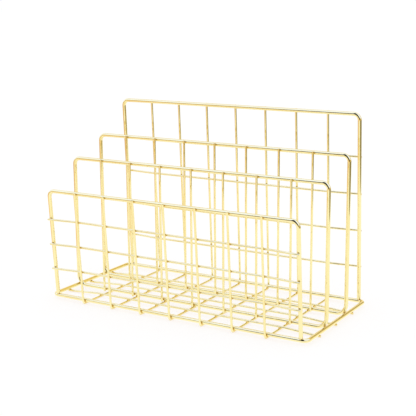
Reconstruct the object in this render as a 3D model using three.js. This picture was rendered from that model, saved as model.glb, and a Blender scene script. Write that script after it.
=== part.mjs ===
// Desktop document rack: three upright slots made of bent and welded wire.
// Millimetres, +Z up, the long side along X, the low front panel towards -Y.
// A stout wire makes the base loop, the two hoops and the two dividers; a thin
// wire makes the U-bent cradles, the rails and the uprights welded across them.

import * as THREE from 'three';

// Wire stock
const FRAME_GAUGE = 4; // stout wire diameter
const THIN_GAUGE = 2.3; // thin wire diameter
const WELD_GAP = 0.25; // left between two wires that are welded together
const WIRE_SIDES = 12; // flats round every wire
const BEND_STEP_DEG = 15; // turn taken by one step of a bend

// Base and bends
const SIDE_SPAN = 300; // left side bar to right side bar, on centre lines
const BASE_BEND = 6; // corner bend of the base loop, on the centre line
const HOOP_BEND = 6.5; // top bends of the hoops and dividers, on the centre line
const SLOT_FRONT = 43.7; // front bar to first divider
const SLOT_MIDDLE = 47.3; // first divider to second divider
const SLOT_REAR = 48; // second divider to back bar

// Front and back
const FRONT_LEAN_DEG = 4.15; // both hoops tip towards the front
const BACK_LEAN_DEG = 3;
const FRONT_RAIL_COUNT = 3;
const FRONT_RAIL_FOOT = 31.1; // base loop to lowest rail
const FRONT_RAIL_PITCH = 27.15;
const FRONT_TOP_GAP = 30.4; // highest rail to top bar
const BACK_RAIL_COUNT = 4;
const BACK_RAIL_FOOT = 36.8;
const BACK_RAIL_PITCH = 38.8;
const BACK_TOP_GAP = 44.1;

// Dividers
const FIRST_DIVIDER_HEIGHT = 142; // base loop to top bar
const SECOND_DIVIDER_HEIGHT = 161.5;

// Thin wires
const CROSS_WIRE_COUNT = 7; // cradles across the base, uprights on each divider
const WIRE_TOP_SETBACK = 0.5; // wire ends sit this far under the top of a bar
const BACK_RAIL_SETBACK = 1.2; // back rails end this far inside the outer face of the leg
const RAIL_JOG_INSET = 4; // straight length kept beside each weld before a rail jogs
const RAIL_JOG_BEND = 40; // soft bend where a rail jogs over to the bar
const FLOOR_RAIL_FRONT = 27; // front bar to front floor rail
const FLOOR_RAIL_MIDDLE = 21.4; // first divider to middle floor rail
const FLOOR_RAIL_REAR = 14.7; // second divider to rear floor rail

// Sizes that follow on
const FRAME_R = FRAME_GAUGE / 2;
const THIN_R = THIN_GAUGE / 2;
const LAP = FRAME_R + WELD_GAP + THIN_R; // stout to thin centre lines at a weld
const THIN_LAP = THIN_GAUGE + WELD_GAP; // thin to thin centre lines at a weld
const HIDDEN_LAP = LAP - THIN_LAP; // rails pass behind the cradles at this offset
const BASE_Z = LAP + THIN_R; // base loop centre above the table
const DIVIDER_1_Y = SLOT_FRONT;
const DIVIDER_2_Y = SLOT_FRONT + SLOT_MIDDLE;
const DEPTH_SPAN = SLOT_FRONT + SLOT_MIDDLE + SLOT_REAR;
const LEG_SPAN = SIDE_SPAN - 2 * BASE_BEND; // hoop legs stand where the base bends begin
const CRADLE_PITCH = LEG_SPAN / (CROSS_WIRE_COUNT + 1);
const UPRIGHT_PITCH = SIDE_SPAN / (CROSS_WIRE_COUNT + 1);
const FRONT_HEIGHT = FRONT_RAIL_FOOT + (FRONT_RAIL_COUNT - 1) * FRONT_RAIL_PITCH + FRONT_TOP_GAP;
const BACK_HEIGHT = BACK_RAIL_FOOT + (BACK_RAIL_COUNT - 1) * BACK_RAIL_PITCH + BACK_TOP_GAP;
const FRONT_LEAN = THREE.MathUtils.degToRad(FRONT_LEAN_DEG);
const BACK_LEAN = THREE.MathUtils.degToRad(BACK_LEAN_DEG);
const ORIGIN = new THREE.Vector2(0, 0);

// The bottom bends of a divider ride on the side bars while its bottom bar lies
// level with them on the cradles; that fixes the one bend radius that does both.
const STOUT_LAP = FRAME_GAUGE + WELD_GAP;
const DIVIDER_FOOT_BEND = STOUT_LAP * (1 + Math.SQRT2);

// Materials
function stoutFinish() {
  return new THREE.MeshStandardMaterial({ color: 0xe8c25e, roughness: 0.26, metalness: 1 });
}

function thinFinish() {
  return new THREE.MeshStandardMaterial({ color: 0xecca6c, roughness: 0.3, metalness: 1 });
}

// Wire geometry
// A wire lies flat in one plane, given as corner points and a bend radius each.
// PLANES turns in-plane u and v into X, Y, Z.
const PLANES = {
  xy: (u, v) => new THREE.Vector3(u, v, 0),
  xz: (u, v) => new THREE.Vector3(u, 0, v),
  yz: (u, v) => new THREE.Vector3(0, u, v),
};

// A curve that is sampled at its stations alone: the two ends of each straight
// and a few places round each bend, so that long straights take one step.
class WirePath extends THREE.Curve {
  constructor(stations, plane) {
    super();
    this.points = stations.map(({ point }) => plane(point.x, point.y));
    this.headings = stations.map(({ heading }) => plane(heading.x, heading.y));
  }

  between(list, t, target) {
    const place = t * (list.length - 1);
    const i = Math.min(Math.floor(place), list.length - 2);
    return target.lerpVectors(list[i], list[i + 1], place - i);
  }

  getPoint(t, target = new THREE.Vector3()) {
    return this.between(this.points, t, target);
  }

  getPointAt(t, target = new THREE.Vector3()) {
    return this.getPoint(t, target);
  }

  getTangentAt(t, target = new THREE.Vector3()) {
    return this.between(this.headings, t, target).normalize();
  }
}

function corner(x, y, bend = 0) {
  return { at: new THREE.Vector2(x, y), bend };
}

function headingFrom(from, to) {
  return to.at.clone().sub(from.at).normalize();
}

// Stations of one rounded corner, from the end of one straight to the start of the next.
function bendStations({ at, bend }, into, out) {
  const turn = Math.atan2(into.cross(out), into.dot(out));
  const start = at.clone().addScaledVector(into, -bend * Math.tan(Math.abs(turn) / 2));
  const inward = new THREE.Vector2(-into.y, into.x).multiplyScalar(Math.sign(turn) * bend);
  const centre = start.clone().add(inward);
  const bendStep = THREE.MathUtils.degToRad(BEND_STEP_DEG);
  const steps = Math.max(2, Math.round(Math.abs(turn) / bendStep));
  return Array.from({ length: steps + 1 }, (_, i) => {
    const angle = (turn * i) / steps;
    return {
      point: start.clone().rotateAround(centre, angle),
      heading: into.clone().rotateAround(ORIGIN, angle),
    };
  });
}

function loopStations(corners) {
  const count = corners.length;
  const stations = corners.flatMap((here, i) => {
    const before = corners[(i + count - 1) % count];
    const after = corners[(i + 1) % count];
    return bendStations(here, headingFrom(before, here), headingFrom(here, after));
  });
  return [...stations, stations[0]];
}

function openStations(corners) {
  const last = corners.length - 1;
  const bends = corners.slice(1, last).flatMap((here, i) => {
    const into = headingFrom(corners[i], here);
    return bendStations(here, into, headingFrom(here, corners[i + 2]));
  });
  return [
    { point: corners[0].at, heading: headingFrom(corners[0], corners[1]) },
    ...bends,
    { point: corners[last].at, heading: headingFrom(corners[last - 1], corners[last]) },
  ];
}

// Cross-section whose flats, not its corners, lie at the wire's radius.
function wireSection(gauge) {
  const reach = gauge / 2 / Math.cos(Math.PI / WIRE_SIDES);
  const outline = Array.from({ length: WIRE_SIDES }, (_, k) => {
    const angle = ((k + 0.5) * 2 * Math.PI) / WIRE_SIDES;
    return new THREE.Vector2(reach * Math.cos(angle), reach * Math.sin(angle));
  });
  return new THREE.Shape(outline);
}

function sweepWire(stations, gauge, plane) {
  const extrudePath = new WirePath(stations, PLANES[plane]);
  const steps = stations.length - 1;
  return new THREE.ExtrudeGeometry(wireSection(gauge), { steps, extrudePath });
}

function openWire(corners, gauge, plane) {
  return sweepWire(openStations(corners), gauge, plane);
}

// A closed loop has no ends, so only the side faces of the sweep are kept.
function closedWire(corners, gauge, plane) {
  const sweep = sweepWire(loopStations(corners), gauge, plane);
  const [, sides] = sweep.groups;
  const positions = sweep.getAttribute('position').array;
  const kept = positions.slice(sides.start * 3, (sides.start + sides.count) * 3);
  const geometry = new THREE.BufferGeometry();
  geometry.setAttribute('position', new THREE.BufferAttribute(kept, 3));
  geometry.computeVertexNormals();
  return geometry;
}

function wireMesh(name, geometry, finish) {
  const mesh = new THREE.Mesh(geometry, finish());
  mesh.name = name;
  return mesh;
}

// Stout wires
function baseLoop() {
  const x = SIDE_SPAN / 2;
  const corners = [
    corner(-x, 0, BASE_BEND),
    corner(x, 0, BASE_BEND),
    corner(x, DEPTH_SPAN, BASE_BEND),
    corner(-x, DEPTH_SPAN, BASE_BEND),
  ];
  return wireMesh('base_loop', closedWire(corners, FRAME_GAUGE, 'xy'), stoutFinish);
}

// Upside-down U whose two feet stand on the base loop.
function hoop(name, height) {
  const x = LEG_SPAN / 2;
  const foot = FRAME_R + WELD_GAP;
  const corners = [
    corner(-x, foot),
    corner(-x, height, HOOP_BEND),
    corner(x, height, HOOP_BEND),
    corner(x, foot),
  ];
  return wireMesh(name, openWire(corners, FRAME_GAUGE, 'xz'), stoutFinish);
}

// Closed loop standing across the side bars.
function dividerLoop(name, height) {
  const x = SIDE_SPAN / 2;
  const corners = [
    corner(-x, 0, DIVIDER_FOOT_BEND),
    corner(x, 0, DIVIDER_FOOT_BEND),
    corner(x, height, HOOP_BEND),
    corner(-x, height, HOOP_BEND),
  ];
  return wireMesh(name, closedWire(corners, FRAME_GAUGE, 'xz'), stoutFinish);
}

// Thin wires
// Where the line of a leaning upright, offset outward from its hoop, meets the floor run.
function leaningCorner(barY, lean, outward) {
  const across = outward * (LAP / Math.cos(lean)) + Math.tan(lean) * LAP;
  return corner(barY + across, -LAP, LAP);
}

function leaningTip(barY, lean, outward, height) {
  const top = height + FRAME_R - WIRE_TOP_SETBACK;
  const across = outward * LAP;
  return corner(
    barY - top * Math.sin(lean) + across * Math.cos(lean),
    top * Math.cos(lean) + across * Math.sin(lean),
  );
}

// Runs up the front hoop, under both long bars of the base and up the back hoop.
function cradleWire(index) {
  const corners = [
    leaningTip(0, FRONT_LEAN, -1, FRONT_HEIGHT),
    leaningCorner(0, FRONT_LEAN, -1),
    leaningCorner(DEPTH_SPAN, BACK_LEAN, 1),
    leaningTip(DEPTH_SPAN, BACK_LEAN, 1, BACK_HEIGHT),
  ];
  const geometry = openWire(corners, THIN_GAUGE, 'yz');
  return wireMesh(`cradle_wire_${index + 1}`, geometry, thinFinish);
}

// A rail lies against the cradles in the middle and jogs over to lap a bar at each end. It ends flush
// with the bar's outer face, or inside it by the setback.
function railGeometry(plane, barSpan, hidden, lapped, setback = 0) {
  const bar = barSpan / 2;
  const tip = bar + FRAME_R - setback;
  const jogStart = (CRADLE_PITCH * (CROSS_WIRE_COUNT - 1)) / 2 + RAIL_JOG_INSET;
  const jogEnd = bar - RAIL_JOG_INSET;
  const corners = [
    corner(-tip, lapped),
    corner(-jogEnd, lapped, RAIL_JOG_BEND),
    corner(-jogStart, hidden, RAIL_JOG_BEND),
    corner(jogStart, hidden, RAIL_JOG_BEND),
    corner(jogEnd, lapped, RAIL_JOG_BEND),
    corner(tip, lapped),
  ];
  return openWire(corners, THIN_GAUGE, plane);
}

// Rails of a hoop; outward is -1 for the front hoop and 1 for the back one.
function hoopRails(prefix, count, foot, pitch, outward, setback) {
  return Array.from({ length: count }, (_, i) => {
    const geometry = railGeometry('xy', LEG_SPAN, outward * HIDDEN_LAP, outward * LAP, setback);
    const rail = wireMesh(`${prefix}_rail_${i + 1}`, geometry, thinFinish);
    rail.position.z = foot + i * pitch;
    return rail;
  });
}

function floorRail(name, y) {
  const geometry = railGeometry('xz', SIDE_SPAN, -HIDDEN_LAP, -LAP);
  const rail = wireMesh(name, geometry, thinFinish);
  rail.position.y = y;
  return rail;
}

// Straight uprights on the front face of a divider.
function dividerUprights(prefix, height) {
  const corners = [corner(0, -FRAME_R), corner(0, height + FRAME_R - WIRE_TOP_SETBACK)];
  return Array.from({ length: CROSS_WIRE_COUNT }, (_, i) => {
    const geometry = openWire(corners, THIN_GAUGE, 'xz');
    const upright = wireMesh(`${prefix}_upright_${i + 1}`, geometry, thinFinish);
    upright.position.set((i - (CROSS_WIRE_COUNT - 1) / 2) * UPRIGHT_PITCH, -LAP, 0);
    return upright;
  });
}

// Assemblies
function frontPanel() {
  const panel = new THREE.Group();
  panel.name = 'front_panel';
  panel.rotation.x = FRONT_LEAN;
  panel.add(hoop('front_hoop', FRONT_HEIGHT));
  panel.add(...hoopRails('front', FRONT_RAIL_COUNT, FRONT_RAIL_FOOT, FRONT_RAIL_PITCH, -1));
  return panel;
}

function backPanel() {
  const panel = new THREE.Group();
  panel.name = 'back_panel';
  panel.position.y = DEPTH_SPAN;
  panel.rotation.x = BACK_LEAN;
  panel.add(hoop('back_hoop', BACK_HEIGHT));
  const rails = hoopRails('back', BACK_RAIL_COUNT, BACK_RAIL_FOOT, BACK_RAIL_PITCH, 1, BACK_RAIL_SETBACK);
  panel.add(...rails);
  return panel;
}

function divider(prefix, y, height) {
  const group = new THREE.Group();
  group.name = `${prefix}_set`;
  group.position.y = y;
  group.add(dividerLoop(`${prefix}_loop`, height));
  group.add(...dividerUprights(prefix, height));
  return group;
}

function cradle() {
  const group = new THREE.Group();
  group.name = 'cradle_set';
  for (let i = 0; i < CROSS_WIRE_COUNT; i += 1) {
    const wire = cradleWire(i);
    wire.position.x = (i - (CROSS_WIRE_COUNT - 1) / 2) * CRADLE_PITCH;
    group.add(wire);
  }
  return group;
}

function buildRack() {
  const rack = new THREE.Group();
  rack.name = 'document_rack';
  rack.add(baseLoop());
  rack.add(frontPanel());
  rack.add(divider('first_divider', DIVIDER_1_Y, FIRST_DIVIDER_HEIGHT));
  rack.add(divider('second_divider', DIVIDER_2_Y, SECOND_DIVIDER_HEIGHT));
  rack.add(backPanel());
  rack.add(cradle());
  rack.add(floorRail('front_floor_rail', FLOOR_RAIL_FRONT));
  rack.add(floorRail('middle_floor_rail', DIVIDER_1_Y + FLOOR_RAIL_MIDDLE));
  rack.add(floorRail('rear_floor_rail', DIVIDER_2_Y + FLOOR_RAIL_REAR));
  return rack;
}

// Stands the rack on the table with the middle of its footprint box over the origin.
function standOnOrigin(rack) {
  rack.updateMatrixWorld(true);
  const box = new THREE.Box3().setFromObject(rack, true);
  rack.position.set(0, -(box.min.y + box.max.y) / 2, BASE_Z);
  const root = new THREE.Group();
  root.name = 'document_rack_root';
  root.add(rack);
  root.updateMatrixWorld(true);
  return root;
}

export default standOnOrigin(buildRack());
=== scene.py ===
# Looks of the desktop document rack: round plated wires, their welds, and a white studio.
import math

import bpy
from mathutils import Matrix, Vector


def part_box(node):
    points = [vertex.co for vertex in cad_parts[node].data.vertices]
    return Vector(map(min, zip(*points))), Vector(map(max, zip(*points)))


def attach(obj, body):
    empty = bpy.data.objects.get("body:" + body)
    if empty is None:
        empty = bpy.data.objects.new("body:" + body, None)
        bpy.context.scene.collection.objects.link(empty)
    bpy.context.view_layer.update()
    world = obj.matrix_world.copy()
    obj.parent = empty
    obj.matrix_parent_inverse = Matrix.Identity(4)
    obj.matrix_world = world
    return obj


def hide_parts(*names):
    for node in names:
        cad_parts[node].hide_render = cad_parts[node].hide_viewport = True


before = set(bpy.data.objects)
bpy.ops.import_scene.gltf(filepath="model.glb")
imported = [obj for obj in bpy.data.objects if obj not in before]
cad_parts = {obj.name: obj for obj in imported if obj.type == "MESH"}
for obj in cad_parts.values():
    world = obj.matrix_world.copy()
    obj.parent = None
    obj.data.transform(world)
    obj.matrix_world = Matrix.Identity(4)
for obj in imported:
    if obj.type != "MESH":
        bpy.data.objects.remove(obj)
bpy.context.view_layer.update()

MM = 0.001
X_AXIS = Vector((1, 0, 0))
Y_AXIS = Vector((0, 1, 0))
Z_AXIS = Vector((0, 0, 1))

# Wire stock, in millimetres
STOUT_R = 2.0
THIN_R = 1.15
WELD_GAP = 0.25
LAP = STOUT_R + WELD_GAP + THIN_R
HIDDEN_LAP = LAP - 2 * THIN_R - WELD_GAP
WELD_DISTANCE = STOUT_R + WELD_GAP / 2
WELD_SET_DOWN = 0.4

# Spans and bends, in millimetres
SIDE_X = 150.0
BASE_BEND = 6.0
HOOP_BEND = 6.5
FOOT_BEND = (2 * STOUT_R + WELD_GAP) * (1 + math.sqrt(2))
LEG_X = SIDE_X - BASE_BEND
RAIL_JOG_INSET = 4.0
RAIL_JOG_BEND = 40.0
BACK_RAIL_SETBACK = 1.2
TOP_SETBACK = 0.5
CROSS_WIRES = 7
CRADLE_PITCH = 2 * LEG_X / (CROSS_WIRES + 1)
UPRIGHT_PITCH = 2 * SIDE_X / (CROSS_WIRES + 1)

# Depths are measured back from the front bar, heights up from the base loop
FIRST_DIVIDER_Y = 43.7
SECOND_DIVIDER_Y = 91.0
BACK_BAR_Y = 139.0
FLOOR_RAILS = {
    "front_floor_rail": 27.0,
    "middle_floor_rail": FIRST_DIVIDER_Y + 21.4,
    "rear_floor_rail": SECOND_DIVIDER_Y + 14.7,
}
DIVIDERS = {
    "first_divider": (FIRST_DIVIDER_Y, 142.0),
    "second_divider": (SECOND_DIVIDER_Y, 161.5),
}

# The leaning panels; lean is in degrees, and the rails end a setback inside the legs' outer faces
FRONT = {
    "name": "front",
    "y": 0.0,
    "lean": 4.15,
    "height": 115.8,
    "rails": (31.1, 58.25, 85.4),
    "out": -1,
    "setback": 0.0,
}
BACK = {
    "name": "back",
    "y": BACK_BAR_Y,
    "lean": 3.0,
    "height": 197.3,
    "rails": (36.8, 75.6, 114.4, 153.2),
    "out": 1,
    "setback": BACK_RAIL_SETBACK,
}

# Fineness of the visible wires
STOUT_SIDES = 24
THIN_SIDES = 18
WELD_SIDES = 12
BEND_STEP = math.radians(6)
FEWEST_BEND_STEPS = 3
TIP_ROUNDING = 0.3

# Weld necks: short waists of metal that join two wires across the gap, each (height, radius)
STOUT_NECK = ((-1.0, 1.75), (-0.55, 1.4), (-0.2, 1.2), (0.2, 1.2), (0.55, 1.4), (1.0, 1.75))
LAP_NECK = ((-0.95, 1.35), (-0.55, 1.15), (-0.2, 1.05), (0.2, 1.05), (0.55, 1.15), (0.95, 1.35))

# Plating colours, with painted shade in the crevices and on the welds
PLATING_PALE = (0.92, 0.80, 0.42)
PLATING_DEEP = (0.90, 0.75, 0.36)
EDGE_TINT = (1.0, 0.99, 0.93)
# Painted shade: the browner base colour that wires and welds take in the crevices between touching
# wires
CREVICE_PAINTED_SHADE = (0.70, 0.48, 0.14)
# Painted shade: the welds are a deeper, more orange gold than the wire, standing in for the darker
# gold that contact shade and inter-reflection give at the crossings
SHADED_WELD_PALE = (0.95, 0.68, 0.22)
SHADED_WELD_DEEP = (0.84, 0.58, 0.16)

# Plating detail and crevice painted shade: sizes in metres, scales per metre
CLOUD_SCALE = 38.0
CLOUD_DETAIL = 3.0
CLOUD_EDGES = (0.35, 0.65)
# Painted shade in the crevices: how far the ambient occlusion looks, its samples, and the occlusion
# range over which the colour turns browner
CREVICE_SHADE_REACH = 0.0022
CREVICE_SHADE_SAMPLES = 8
CREVICE_SHADE_EDGES = (0.35, 0.85)
DRAW_LINE_SCALE = (60.0, 2600.0, 1.0)
DRAW_LINE_DETAIL = 4.0
GLOSS_RANGE = (0.04, 0.10)
WELD_GLOSS = (0.22, 0.40)
GRAIN_SCALE = 900.0
GRAIN_DETAIL = 2.0
GRAIN_SHARE = 0.4
RELIEF_DEPTH = 0.00001
RELIEF_STRENGTH = 0.25

# The studio's floor and sky
FLOOR_HALF = 60.0
FLOOR_TONE = (0.16, 0.22, 0.14)
FLOOR_GLOW = 1.0
FLOOR_GLOW_TINT = (0.853, 0.757, 0.757)
SKY_TINT = (0.53, 0.625, 1.0)
SKY_BRIGHT = 1.95
SKY_BACK = 1.6
SKY_TILT = math.radians(55)
SKY_EDGE = (-0.12, 0.22)
BACKDROP_HALF = 12.0
BACKDROP_HEIGHT = 9.0
BACKDROP_WHITE = (1.02, 1.02, 1.02)

# The white table that the wires reflect, in metres from the middle of the rack
CARD_HEIGHT = 0.00002
CARD_REACH = 5.0
TABLE_RIGHT = 0.62
TABLE_LEFT = -0.60
TABLE_LEFT_NEAR = -0.28
TABLE_FRONT = -0.80
NEAR_FRONT = -0.20
TABLE_WHITE = (1.10, 1.13, 1.13)
NEAR_TABLE = (1.10, 1.14, 1.18)
DARK_ROOM = (0.30, 0.265, 0.14)
WARM_ROOM = (0.80, 0.56, 0.34)
WARM_TABLE = (1.0, 0.78, 0.56)

# The floor in front of the table darkens towards the wall: (y, tone)
FRONT_ROOM = (
    (TABLE_FRONT, (1.00, 0.84, 0.62)),
    (-1.10, (0.94, 0.72, 0.44)),
    (-1.40, (0.50, 0.33, 0.14)),
    (-1.70, (0.12, 0.07, 0.02)),
    (-3.10, (0.02, 0.012, 0.005)),
)

# The walls round the table: (azimuth from the front, bottom edge, top edge, tone), in degrees
WALL_DISTANCE = 3.0
WALL_STEP = 3.0
WALL = (
    (-110, 0, 9, (0.90, 0.82, 0.62)),
    (-48, 0, 9, (0.84, 0.74, 0.42)),
    (-40, 6, 10, (0.62, 0.50, 0.16)),
    (-34, 6, 12, (0.34, 0.22, 0.05)),
    (-28, 6, 15, (0.06, 0.035, 0.010)),
    (-22, 6, 46, (0.010, 0.006, 0.003)),
    (-15, 0, 74, (0.004, 0.003, 0.002)),
    (2, 0, 79, (0.004, 0.003, 0.002)),
    (22, 0, 77, (0.004, 0.003, 0.002)),
    (32, 0, 58, (0.02, 0.012, 0.006)),
    (42, 0, 26, (0.34, 0.24, 0.08)),
    (60, 0, 16, (0.62, 0.50, 0.22)),
    (125, 0, 16, (0.62, 0.50, 0.22)),
    (138, 0, 34, (1.10, 0.92, 0.38)),
    (150, 0, 34, (0.95, 0.80, 0.42)),
    (159, 0, 34, (0.25, 0.20, 0.12)),
    (166, 0, 34, (0.45, 0.38, 0.24)),
    (176, 0, 34, (1.05, 0.95, 0.76)),
    (250, 0, 34, (1.05, 0.95, 0.76)),
)
LOW_FRONT_WALL = (
    (-48, 0, 0.1, (0.84, 0.74, 0.42)),
    (-40, 0, 6, (0.76, 0.56, 0.22)),
    (-34, 0, 6, (0.58, 0.38, 0.11)),
    (-28, 0, 6, (0.36, 0.22, 0.05)),
    (-22, 0, 6, (0.18, 0.10, 0.02)),
    (-15, 0, 0.1, (0.05, 0.03, 0.01)),
)
HIGH_FRONT_WALL = (
    (-62, 9, 24, (0.95, 0.97, 0.92)),
    (-40, 10, 24, (0.95, 0.97, 0.92)),
    (-34, 12, 25, (0.95, 0.97, 0.92)),
    (-28, 15, 26, (0.95, 0.97, 0.92)),
)
HIGH_BACK_WALL = (
    (135, 34, 50, (0.90, 0.74, 0.34)),
    (235, 34, 50, (0.90, 0.74, 0.34)),
)

# Camera, solved from the photograph: angles in degrees, distances in millimetres
VIEW_AZIMUTH = 31.01
VIEW_ELEVATION = 12.45
VIEW_ROLL = -0.42
VIEW_DISTANCE = 1040.73
VIEW_TARGET = (0.0, 73.53, 96.63)
FOCAL_PIXELS = 997.32
IMAGE_PIXELS = 416
SENSOR_WIDTH = 36.0

# Where the rack stands, from the frame
BASE_LOW, BASE_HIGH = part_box("base_loop")
FRONT_BAR_SHIFT = BASE_LOW.y / MM + STOUT_R
BASE_LIFT = (BASE_LOW.z + BASE_HIGH.z) / 2 / MM


def place(x, y, z):
    """A point given in the rack's own millimetres, as metres in the frame."""
    return Vector((x, y + FRONT_BAR_SHIFT, z + BASE_LIFT)) * MM


def leaning(panel, x, back, up):
    """A point on a leaning panel: back from its plane, and up along it."""
    lean = math.radians(panel["lean"])
    y = panel["y"] - up * math.sin(lean) + back * math.cos(lean)
    return Vector((x, y, up * math.cos(lean) + back * math.sin(lean)))


def square_to(panel):
    """The direction square to a leaning panel, towards the back."""
    return leaning(panel, 0, 1, 0) - leaning(panel, 0, 0, 0)


def up_along(panel):
    """The direction up along a leaning panel."""
    return leaning(panel, 0, 0, 1) - leaning(panel, 0, 0, 0)


# Paths of the wires
def rounded(corners, closed=False):
    """Stations (point, heading) along a path through corners, each (point, bend radius)."""
    count = len(corners)
    stations = []
    for i, (at, bend) in enumerate(corners):
        before = corners[i - 1][0] if closed or i else None
        after = corners[(i + 1) % count][0] if closed or i < count - 1 else None
        if before is None:
            stations.append((at, (after - at).normalized()))
        elif after is None:
            stations.append((at, (at - before).normalized()))
        else:
            into = (at - before).normalized()
            stations += bend_stations(at, bend, into, (after - at).normalized())
    return stations


def bend_stations(at, bend, into, out):
    """Stations round one bend, which turns from the heading into to the heading out."""
    turn = into.angle(out)
    axis = into.cross(out).normalized()
    start = at - into * bend * math.tan(turn / 2)
    centre = start + axis.cross(into) * bend
    steps = max(FEWEST_BEND_STEPS, round(turn / BEND_STEP))
    stations = []
    for i in range(steps + 1):
        spin = Matrix.Rotation(turn * i / steps, 3, axis)
        stations.append((centre + spin @ (start - centre), spin @ into))
    return stations


# Meshes
def new_piece(name, points, faces, node, material):
    """A piece from points and faces, each face a list of corners (point number, uv, normal)."""
    mesh = bpy.data.meshes.new(name)
    outlines = [[corner[0] for corner in face] for face in faces]
    mesh.from_pydata([place(*point) for point in points], [], outlines)
    corners = [corner for face in faces for corner in face]
    layer = mesh.uv_layers.new(name="along_wire")
    for i, corner in enumerate(corners):
        layer.data[i].uv = corner[1]
    for polygon in mesh.polygons:
        polygon.use_smooth = True
    mesh.normals_split_custom_set([corner[2] for corner in corners])
    mesh.materials.append(material)
    piece = bpy.data.objects.new(name, mesh)
    bpy.context.scene.collection.objects.link(piece)
    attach(piece, "root")
    if node:
        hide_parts(node)


def tube(rings, sides, closed):
    """Points and faces of a tube; a ring is (centre, heading, across, radius, normals' flare)."""
    points = []
    normals = []
    reach = [0.0]
    for i, (centre, heading, across, radius, flare) in enumerate(rings):
        sideways = across.cross(heading)
        if i:
            reach.append(reach[-1] + (centre - rings[i - 1][0]).length)
        for k in range(sides):
            angle = 2 * math.pi * k / sides
            radial = sideways * math.cos(angle) + across * math.sin(angle)
            points.append(centre + radial * radius)
            normals.append((radial + heading * flare).normalized())
    if closed:
        reach.append(reach[-1] + (rings[0][0] - rings[-1][0]).length)
    girth = 2 * math.pi * max(ring[3] for ring in rings) * MM
    faces = []
    for i in range(len(rings) if closed else len(rings) - 1):
        corners = []
        for ring, k in ((i, 0), (i, 1), (i + 1, 1), (i + 1, 0)):
            corners.append((ring % len(rings) * sides, k, reach[ring] * MM))
        for k in range(sides):
            face = []
            for first, step, along in corners:
                number = first + (k + step) % sides
                face.append((number, (along, (k + step) / sides * girth), normals[number]))
            faces.append(face)
    if not closed:
        last = (len(rings) - 1) * sides
        ends = (
            (reversed(range(sides)), -rings[0][1], 0.0),
            (range(last, last + sides), rings[-1][1], reach[-1]),
        )
        for order, heading, along in ends:
            faces.append([(k, (along * MM, k % sides / sides * girth), heading) for k in order])
    return points, faces


def tipped(stations, across, radius):
    """The rings along an open wire, with a small round-over at each cut end."""
    first, heading = stations[0]
    last, end_heading = stations[-1]
    shrunk = radius - TIP_ROUNDING
    return [
        (first, heading, across, shrunk, -1),
        (first + heading * TIP_ROUNDING, heading, across, radius, 0),
        *((point, along, across, radius, 0) for point, along in stations[1:-1]),
        (last - end_heading * TIP_ROUNDING, end_heading, across, radius, 0),
        (last, end_heading, across, shrunk, 1),
    ]


def wire_piece(node, stations, across, radius, sides, slot, material, closed):
    """A round wire swept along its stations; across is the normal of the plane it lies in."""
    if closed:
        rings = [(point, heading, across, radius, 0) for point, heading in stations]
    else:
        rings = tipped(stations, across, radius)
    points, faces = tube(rings, sides, closed)
    new_piece(node + "_wire", points, faces, node, material)


def weld_piece(name, welds):
    """All welds of one panel, each (centre, normal, neck profile), in one mesh."""
    points = []
    faces = []
    for centre, normal, neck in welds:
        normal = normal.normalized()
        across = normal.orthogonal().normalized()
        rings = [(centre + normal * height, normal, across, size, 0) for height, size in neck]
        first = len(points)
        more_points, more_faces = tube(rings, WELD_SIDES, False)
        points += more_points
        for face in more_faces:
            faces.append([(first + number, uv, direction) for number, uv, direction in face])
    new_piece(name, points, faces, None, SHADED_WELD_PLATING)


# Materials
def noise(tree, vector, detail, scale=1.0):
    """A noise texture over the given coordinates; returns its factor."""
    texture = tree.nodes.new("ShaderNodeTexNoise")
    texture.inputs["Scale"].default_value = scale
    texture.inputs["Detail"].default_value = detail
    tree.links.new(vector, texture.inputs["Vector"])
    return texture.outputs["Fac"]


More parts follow.
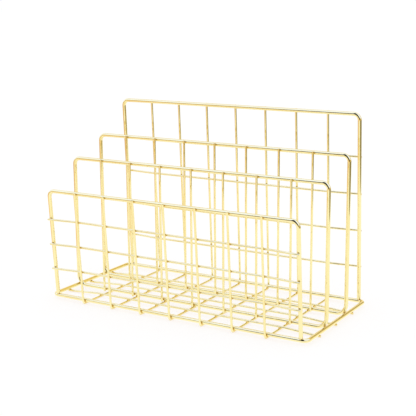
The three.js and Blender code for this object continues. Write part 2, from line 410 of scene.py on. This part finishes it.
def plated_wire(name, deep, pale, glosses):
    """Bright brass-coloured plating over drawn wire: a lemon gold that drifts a little from place
    to place, fine draw lines along the wire, and painted shade: a browner base colour in the weld
    crevices."""
    material = bpy.data.materials.new(name)
    material.use_nodes = True
    tree = material.node_tree
    nodes = tree.nodes
    link = tree.links.new
    shader = nodes["Principled BSDF"]
    shader.inputs["Metallic"].default_value = 1.0
    shader.inputs["Specular Tint"].default_value = (*EDGE_TINT, 1)
    place_map = nodes.new("ShaderNodeTexCoord")

    cloud = noise(tree, place_map.outputs["Object"], CLOUD_DETAIL, CLOUD_SCALE)
    tint = nodes.new("ShaderNodeValToRGB")
    for element, edge, tone in zip(tint.color_ramp.elements, CLOUD_EDGES, (deep, pale)):
        element.position = edge
        element.color = (*tone, 1)
    link(cloud, tint.inputs["Fac"])

    # Painted shade: an ambient occlusion node turns the base colour browner where other wire is
    # near, in the weld crevices
    crevice_shade = nodes.new("ShaderNodeAmbientOcclusion")
    crevice_shade.inputs["Distance"].default_value = CREVICE_SHADE_REACH
    crevice_shade.samples = CREVICE_SHADE_SAMPLES
    shade_depth = nodes.new("ShaderNodeMapRange")
    shade_depth.inputs["From Min"].default_value = CREVICE_SHADE_EDGES[0]
    shade_depth.inputs["From Max"].default_value = CREVICE_SHADE_EDGES[1]
    link(crevice_shade.outputs["AO"], shade_depth.inputs["Value"])
    colour = nodes.new("ShaderNodeMix")
    colour.data_type = "RGBA"
    colour.inputs["A"].default_value = (*CREVICE_PAINTED_SHADE, 1)
    link(shade_depth.outputs["Result"], colour.inputs["Factor"])
    link(tint.outputs["Color"], colour.inputs["B"])
    link(colour.outputs["Result"], shader.inputs["Base Color"])

    stretch = nodes.new("ShaderNodeMapping")
    stretch.inputs["Scale"].default_value = DRAW_LINE_SCALE
    link(place_map.outputs["UV"], stretch.inputs["Vector"])
    lines = noise(tree, stretch.outputs["Vector"], DRAW_LINE_DETAIL)
    gloss = nodes.new("ShaderNodeMapRange")
    gloss.inputs["To Min"].default_value = glosses[0]
    gloss.inputs["To Max"].default_value = glosses[1]
    link(lines, gloss.inputs["Value"])
    link(gloss.outputs["Result"], shader.inputs["Roughness"])

    grain = noise(tree, place_map.outputs["Object"], GRAIN_DETAIL, GRAIN_SCALE)
    relief = nodes.new("ShaderNodeMix")
    relief.data_type = "FLOAT"
    relief.inputs["Factor"].default_value = GRAIN_SHARE
    link(lines, relief.inputs["A"])
    link(grain, relief.inputs["B"])
    bump = nodes.new("ShaderNodeBump")
    bump.inputs["Strength"].default_value = RELIEF_STRENGTH
    bump.inputs["Distance"].default_value = RELIEF_DEPTH
    link(relief.outputs["Result"], bump.inputs["Height"])
    link(bump.outputs["Normal"], shader.inputs["Normal"])
    return material


STOUT_PLATING = plated_wire("stout_wire_plating", PLATING_DEEP, PLATING_PALE, GLOSS_RANGE)
THIN_PLATING = plated_wire("thin_wire_plating", PLATING_DEEP, PLATING_PALE, GLOSS_RANGE)
# The welds' plating carries painted shade: its deeper, orange gold stands in for the shade at the
# crossings
SHADED_WELD_PLATING = plated_wire("shaded_weld_plating", SHADED_WELD_DEEP, SHADED_WELD_PALE, WELD_GLOSS)


def stout(node, stations, across, closed=False):
    """A stout wire in place of a CAD node."""
    stock = (STOUT_R, STOUT_SIDES, "stout_wire", STOUT_PLATING)
    wire_piece(node, stations, across, *stock, closed)


def thin(node, stations, across):
    """A thin wire in place of a CAD node."""
    stock = (THIN_R, THIN_SIDES, "thin_wire", THIN_PLATING)
    wire_piece(node, stations, across, *stock, closed=False)


def cross_positions(pitch):
    """Where the cross wires stand along X, symmetric about the middle."""
    return [(i - (CROSS_WIRES - 1) / 2) * pitch for i in range(CROSS_WIRES)]


# Stout wires
def base_loop():
    corners = [(-SIDE_X, 0), (SIDE_X, 0), (SIDE_X, BACK_BAR_Y), (-SIDE_X, BACK_BAR_Y)]
    path = rounded([(Vector((x, y, 0)), BASE_BEND) for x, y in corners], closed=True)
    stout("base_loop", path, Z_AXIS, closed=True)


def hoop(panel):
    foot = STOUT_R + WELD_GAP
    top = panel["height"]
    ends = [(-LEG_X, foot), (-LEG_X, top), (LEG_X, top), (LEG_X, foot)]
    path = rounded([(leaning(panel, x, 0, up), HOOP_BEND) for x, up in ends])
    stout(panel["name"] + "_hoop", path, square_to(panel))


def divider_loop(name, y, height):
    corners = [
        (-SIDE_X, 0, FOOT_BEND),
        (SIDE_X, 0, FOOT_BEND),
        (SIDE_X, height, HOOP_BEND),
        (-SIDE_X, height, HOOP_BEND),
    ]
    path = rounded([(Vector((x, y, z)), bend) for x, z, bend in corners], closed=True)
    stout(name + "_loop", path, Y_AXIS, closed=True)


# Thin wires
def cradle_corner(panel):
    """Where the upright part of a cradle wire would meet its floor run."""
    lean = math.radians(panel["lean"])
    y = panel["y"] + panel["out"] * LAP / math.cos(lean) + math.tan(lean) * LAP
    return Vector((0, y, -LAP))


def cradle_tip(panel):
    """The top end of a cradle wire, just under the top of the hoop's bar."""
    return leaning(panel, 0, panel["out"] * LAP, panel["height"] + STOUT_R - TOP_SETBACK)


def cradle_wires():
    for i, x in enumerate(cross_positions(CRADLE_PITCH)):
        aside = Vector((x, 0, 0))
        corners = [
            (cradle_tip(FRONT) + aside, 0),
            (cradle_corner(FRONT) + aside, LAP),
            (cradle_corner(BACK) + aside, LAP),
            (cradle_tip(BACK) + aside, 0),
        ]
        thin(f"cradle_wire_{i + 1}", rounded(corners), X_AXIS)


def rail_shape(bar_x, setback=0.0, sunk=0.0):
    """Corners (x, lap) of a rail: lapped over a bar at its ends, hidden in the middle."""
    tip = bar_x + STOUT_R - setback
    jog_start = CRADLE_PITCH * (CROSS_WIRES - 1) / 2 + RAIL_JOG_INSET
    jog_end = bar_x - RAIL_JOG_INSET
    half = [(jog_start, HIDDEN_LAP), (jog_end, LAP - sunk), (tip, LAP - sunk)]
    return [(-x, lap) for x, lap in reversed(half)] + half


def panel_rails(panel):
    shape = rail_shape(LEG_X, panel["setback"])
    for i, up in enumerate(panel["rails"]):
        corners = [(leaning(panel, x, panel["out"] * lap, up), RAIL_JOG_BEND) for x, lap in shape]
        thin(f"{panel['name']}_rail_{i + 1}", rounded(corners), up_along(panel))


def floor_rails():
    shape = rail_shape(SIDE_X, sunk=WELD_SET_DOWN)
    for name, y in FLOOR_RAILS.items():
        corners = [(Vector((x, y, -lap)), RAIL_JOG_BEND) for x, lap in shape]
        thin(name, rounded(corners), Y_AXIS)


def uprights(name, y, height):
    top = height + STOUT_R - TOP_SETBACK
    for i, x in enumerate(cross_positions(UPRIGHT_PITCH)):
        ends = [(Vector((x, y - LAP, z)), 0) for z in (-STOUT_R, top)]
        thin(f"{name}_upright_{i + 1}", rounded(ends), Y_AXIS)


# Welds
def panel_welds(panel):
    """Cradle wires to the rails, the top bar and the base bar; rails and bar to the hoop's legs."""
    out = square_to(panel) * panel["out"]
    bar = leaning(panel, 0, 0, 0)
    gap = panel["out"] * WELD_DISTANCE
    welds = []
    for x in cross_positions(CRADLE_PITCH):
        for height in (*panel["rails"], panel["height"]):
            welds.append((leaning(panel, x, gap, height), out, LAP_NECK))
        for normal in (out, (out - Z_AXIS).normalized(), -Z_AXIS):
            welds.append((bar + X_AXIS * x + normal * WELD_DISTANCE, normal, LAP_NECK))
    for x in (-LEG_X, LEG_X):
        for height in panel["rails"]:
            welds.append((leaning(panel, x, gap, height), out, LAP_NECK))
        welds.append((leaning(panel, x, 0, WELD_DISTANCE), up_along(panel), STOUT_NECK))
    return welds


def floor_welds():
    """Floor rails to the side bars and the cradle wires."""
    welds = []
    for y in FLOOR_RAILS.values():
        for x in (-SIDE_X, *cross_positions(CRADLE_PITCH), SIDE_X):
            welds.append((Vector((x, y, -WELD_DISTANCE)), Z_AXIS, LAP_NECK))
    return welds


def divider_welds(y, height):
    """A divider loop to its uprights, to the cradle wires and to the side bars."""
    welds = []
    for x in cross_positions(UPRIGHT_PITCH):
        for z in (0, height):
            welds.append((Vector((x, y - WELD_DISTANCE, z)), Y_AXIS, LAP_NECK))
    for x in cross_positions(CRADLE_PITCH):
        welds.append((Vector((x, y, -WELD_DISTANCE)), Z_AXIS, LAP_NECK))
    for side in (-1, 1):
        inward = Vector((-side, 0, 1)).normalized()
        centre = Vector((side * SIDE_X, y, 0)) + inward * WELD_DISTANCE
        welds.append((centre, inward, STOUT_NECK))
    return welds


def build_rack():
    base_loop()
    for panel in (FRONT, BACK):
        hoop(panel)
        panel_rails(panel)
        weld_piece(panel["name"] + "_panel_welds", panel_welds(panel))
    for name, (y, height) in DIVIDERS.items():
        divider_loop(name, y, height)
        uprights(name, y, height)
        weld_piece(name + "_welds", divider_welds(y, height))
    cradle_wires()
    floor_rails()
    weld_piece("floor_welds", floor_welds())


# Studio
def ground_square(half):
    """The corners of a square on the ground, round the middle of the rack."""
    return [Vector((x, y, 0)) * half for x, y in ((-1, -1), (1, -1), (1, 1), (-1, 1))]


def floor():
    """A matt floor that glows near white, so that only the faintest shadow shows."""
    mesh = bpy.data.meshes.new("studio_floor")
    mesh.from_pydata(ground_square(FLOOR_HALF), [], [(0, 1, 2, 3)])
    material = bpy.data.materials.new("studio_white")
    material.use_nodes = True
    shader = material.node_tree.nodes["Principled BSDF"]
    shader.inputs["Base Color"].default_value = (*FLOOR_TONE, 1)
    shader.inputs["Roughness"].default_value = 1.0
    shader.inputs["Specular IOR Level"].default_value = 0.0
    shader.inputs["Emission Color"].default_value = (*FLOOR_GLOW_TINT, 1)
    shader.inputs["Emission Strength"].default_value = FLOOR_GLOW
    mesh.materials.append(material)
    plane = bpy.data.objects.new("studio_floor", mesh)
    bpy.context.scene.collection.objects.link(plane)


def sky():
    """A soft dome that lights everything, dimmer behind the rack. It is bluish, so that the gold
    plating reflects it as near white."""
    world = bpy.data.worlds.new("studio_sky")
    world.use_nodes = True
    tree = world.node_tree
    link = tree.links.new
    background = tree.nodes["Background"]
    background.inputs["Color"].default_value = (*SKY_TINT, 1)
    direction = tree.nodes.new("ShaderNodeTexCoord")
    tilt = tree.nodes.new("ShaderNodeVectorMath")
    tilt.operation = "DOT_PRODUCT"
    tilt.inputs[1].default_value = (0.0, -math.sin(SKY_TILT), math.cos(SKY_TILT))
    link(direction.outputs["Generated"], tilt.inputs[0])
    strength = tree.nodes.new("ShaderNodeMapRange")
    strength.interpolation_type = "SMOOTHSTEP"
    strength.inputs["From Min"].default_value = SKY_EDGE[0]
    strength.inputs["From Max"].default_value = SKY_EDGE[1]
    strength.inputs["To Min"].default_value = SKY_BACK
    strength.inputs["To Max"].default_value = SKY_BRIGHT
    link(tilt.outputs["Value"], strength.inputs["Value"])
    link(strength.outputs["Result"], background.inputs["Strength"])
    bpy.context.scene.world = world


def reflection_card(name, corners, faces, tones):
    """A plain card that only reflections see, with one tone for each of its corners."""
    mesh = bpy.data.meshes.new(name)
    mesh.from_pydata(corners, [], faces)
    layer = mesh.color_attributes.new("tone", "FLOAT_COLOR", "POINT")
    for i, tone in enumerate(tones):
        layer.data[i].color = (*tone, 1)
    material = bpy.data.materials.new(name)
    material.use_nodes = True
    tree = material.node_tree
    tree.nodes.remove(tree.nodes["Principled BSDF"])
    paint = tree.nodes.new("ShaderNodeVertexColor")
    paint.layer_name = "tone"
    glow = tree.nodes.new("ShaderNodeEmission")
    tree.links.new(paint.outputs["Color"], glow.inputs["Color"])
    tree.links.new(glow.outputs["Emission"], tree.nodes["Material Output"].inputs["Surface"])
    mesh.materials.append(material)
    card = bpy.data.objects.new(name, mesh)
    bpy.context.scene.collection.objects.link(card)
    card.visible_camera = False
    card.visible_diffuse = False
    card.visible_shadow = False
    return card


def wall_card(name, stops):
    """A curved wall round the table; its edges and tone are blended from stop to stop."""
    points = []
    tones = []
    for (start, *edges, tone), (end, *next_edges, next_tone) in zip(stops, stops[1:]):
        steps = math.ceil((end - start) / WALL_STEP)
        for i in range(steps + (end == stops[-1][0])):
            share = i / steps
            azimuth = math.radians(start + (end - start) * share)
            foot = Vector((math.sin(azimuth), -math.cos(azimuth), 0)) * WALL_DISTANCE
            for edge, next_edge in zip(edges, next_edges):
                rise = math.tan(math.radians(edge + (next_edge - edge) * share))
                points.append(foot + Z_AXIS * WALL_DISTANCE * rise)
                tones.append([a + (b - a) * share for a, b in zip(tone, next_tone)])
    faces = [(i, i + 2, i + 3, i + 1) for i in range(0, len(points) - 2, 2)]
    reflection_card(name, points, faces, tones)


def flat_card(name, x_range, rows):
    """A card on the table or floor, its tone blended through rows, each (y, tone)."""
    corners = [(x, y, CARD_HEIGHT) for y, tone in rows for x in x_range]
    faces = [(i, i + 1, i + 3, i + 2) for i in range(0, len(corners) - 2, 2)]
    reflection_card(name, corners, faces, [tone for y, tone in rows for x in x_range])


def backdrop():
    """Far white walls behind the floor, for the camera alone: they hide the bluish sky."""
    foot = ground_square(BACKDROP_HALF)
    corners = foot + [point + Z_AXIS * BACKDROP_HEIGHT for point in foot]
    faces = [(i, (i + 1) % 4, (i + 1) % 4 + 4, i + 4) for i in range(4)]
    card = reflection_card("studio_backdrop", corners, faces, [BACKDROP_WHITE] * len(corners))
    card.visible_camera = True
    card.visible_glossy = False
    card.visible_transmission = False


def room():
    """The white table and the room round it, as the wires reflect them, and the backdrop."""
    for name, x_range, tone in (
        ("card_right", (TABLE_RIGHT, CARD_REACH), DARK_ROOM),
        ("card_left", (-CARD_REACH, TABLE_LEFT), WARM_ROOM),
        ("card_left_near", (TABLE_LEFT, TABLE_LEFT_NEAR), WARM_TABLE),
    ):
        flat_card(name, x_range, [(TABLE_FRONT, tone), (CARD_REACH, tone)])
    middle = (TABLE_LEFT_NEAR, TABLE_RIGHT)
    flat_card("card_table", middle, [(TABLE_FRONT, TABLE_WHITE), (NEAR_FRONT, TABLE_WHITE)])
    flat_card("card_table_near", middle, [(NEAR_FRONT, NEAR_TABLE), (CARD_REACH, NEAR_TABLE)])
    flat_card("card_front", (-CARD_REACH, CARD_REACH), FRONT_ROOM)
    backdrop()
    wall_card("card_wall", WALL)
    wall_card("card_low_front_wall", LOW_FRONT_WALL)
    wall_card("card_high_front_wall", HIGH_FRONT_WALL)
    wall_card("card_high_back_wall", HIGH_BACK_WALL)


def camera():
    """The camera at the photograph's viewing angle."""
    angles = (VIEW_AZIMUTH, VIEW_ELEVATION, VIEW_ROLL)
    azimuth, elevation, roll = (math.radians(angle) for angle in angles)
    ahead = math.cos(elevation)
    back = Vector((math.sin(azimuth) * ahead, -math.cos(azimuth) * ahead, math.sin(elevation)))
    level = Z_AXIS.cross(back).normalized()
    upright = back.cross(level)
    right = level * math.cos(roll) + upright * math.sin(roll)
    up = upright * math.cos(roll) - level * math.sin(roll)
    data = bpy.data.cameras.new("photo_camera")
    data.sensor_width = SENSOR_WIDTH
    data.lens = FOCAL_PIXELS / IMAGE_PIXELS * SENSOR_WIDTH
    eye = bpy.data.objects.new("photo_camera", data)
    turn = Matrix((right, up, back)).transposed().to_4x4()
    spot = place(*VIEW_TARGET) + back * VIEW_DISTANCE * MM
    eye.matrix_world = Matrix.Translation(spot) @ turn
    bpy.context.scene.collection.objects.link(eye)
    bpy.context.scene.camera = eye


build_rack()
floor()
sky()
room()
camera()
bpy.context.scene.view_settings.view_transform = "Standard"
